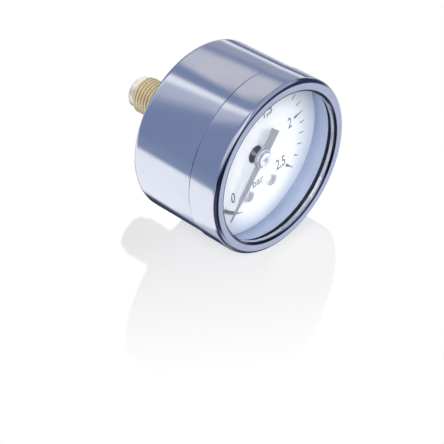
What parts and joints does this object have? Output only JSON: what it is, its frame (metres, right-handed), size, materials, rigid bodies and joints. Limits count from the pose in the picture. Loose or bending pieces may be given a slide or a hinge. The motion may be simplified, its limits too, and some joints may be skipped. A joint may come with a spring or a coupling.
{
  "type": "pressure gauge with back connection",
  "caption": "Round Bourdon-tube pressure gauge in a polished steel case, with a white dial behind a glass window and a threaded brass stem at the centre of its back.",
  "frame": {"origin": "centre of the stem's end face, on the gauge's axis", "axes": "+Y along the stem away from the case, -Y out of the dial, +Z to twelve o'clock on the dial, +X to three o'clock"},
  "size_m": [0.063, 0.0672, 0.063],
  "materials": {
    "polished_steel": "polished",
    "brass": "turned",
    "tube_bronze": "drawn",
    "zinc_steel": "satin",
    "spacer_aluminium": "satin",
    "rubber": "matt",
    "window_glass": "clear",
    "dial_white": "matt white",
    "pointer_black": "matt black",
    "hub_metal": "turned"
  },
  "bodies": {
    "gauge_body": {"socket": "brass", "restrictor_screw": "brass", "case_cup": "polished_steel", "case_gasket": "rubber", "case_screw_left": "zinc_steel", "case_screw_right": "zinc_steel", "blow_out_plug": "rubber", "bezel_ring": "polished_steel", "window": "window_glass", "window_gasket": "rubber", "inner_ring": "spacer_aluminium", "dial": "dial_white", "dial_post_left": "brass", "dial_post_right": "brass", "dial_screw_left": "zinc_steel", "dial_screw_right": "zinc_steel", "bourdon_tube": "tube_bronze", "hairspring": "tube_bronze", "hairspring_stud": "brass", "movement_back_plate": "brass", "movement_front_plate": "brass", "movement_pillar_left": "brass", "movement_pillar_right": "brass", "movement_nut_left": "zinc_steel", "movement_nut_right": "zinc_steel", "movement_screw_left": "zinc_steel", "movement_screw_right": "zinc_steel"},
    "pointer_shaft": {"centre_arbor": "zinc_steel", "pinion": "brass", "hairspring_collet": "brass", "pointer": "pointer_black", "pointer_hub": "hub_metal"},
    "sector": {"sector_gear": "brass", "sector_arbor": "zinc_steel", "link_pin": "zinc_steel"},
    "link_bar": {"link": "brass"},
    "tube_tip": {"tube_end_piece": "brass", "link_screw": "zinc_steel"}
  },
  "joints": [
    {"name": "pointer_spin", "type": "hinge", "parent": "gauge_body", "child": "pointer_shaft", "pos_m": [0, -0.058, 0], "axis": [0, 1, 0], "range_deg": [0, 270], "stiffness_Nm_per_rad": 0.0005, "deforming": ["hairspring"]},
    {"name": "sector_swing", "type": "hinge", "parent": "gauge_body", "child": "sector", "pos_m": [0.01119, -0.0437, -0.00906], "axis": [0, -1, 0], "range_deg": [0, 24.55]},
    {"name": "link_swing", "type": "hinge", "parent": "sector", "child": "link_bar", "pos_m": [0.01627, -0.0413, -0.01017], "axis": [0, -1, 0], "range_deg": [-24.55, 0]},
    {"name": "tip_swing", "type": "hinge", "parent": "gauge_body", "child": "tube_tip", "pos_m": [-0.02, -0.0412, -0.00006], "axis": [0, -1, 0], "range_deg": [0, 3.49], "deforming": ["bourdon_tube"]}
  ],
  "couplings": [
    {"joint": "sector_swing", "follows": "pointer_spin", "ratio": 0.090909},
    {"joint": "link_swing", "follows": "pointer_spin", "ratio": -0.090909},
    {"joint": "tip_swing", "follows": "pointer_spin", "ratio": 0.012908}
  ]
}
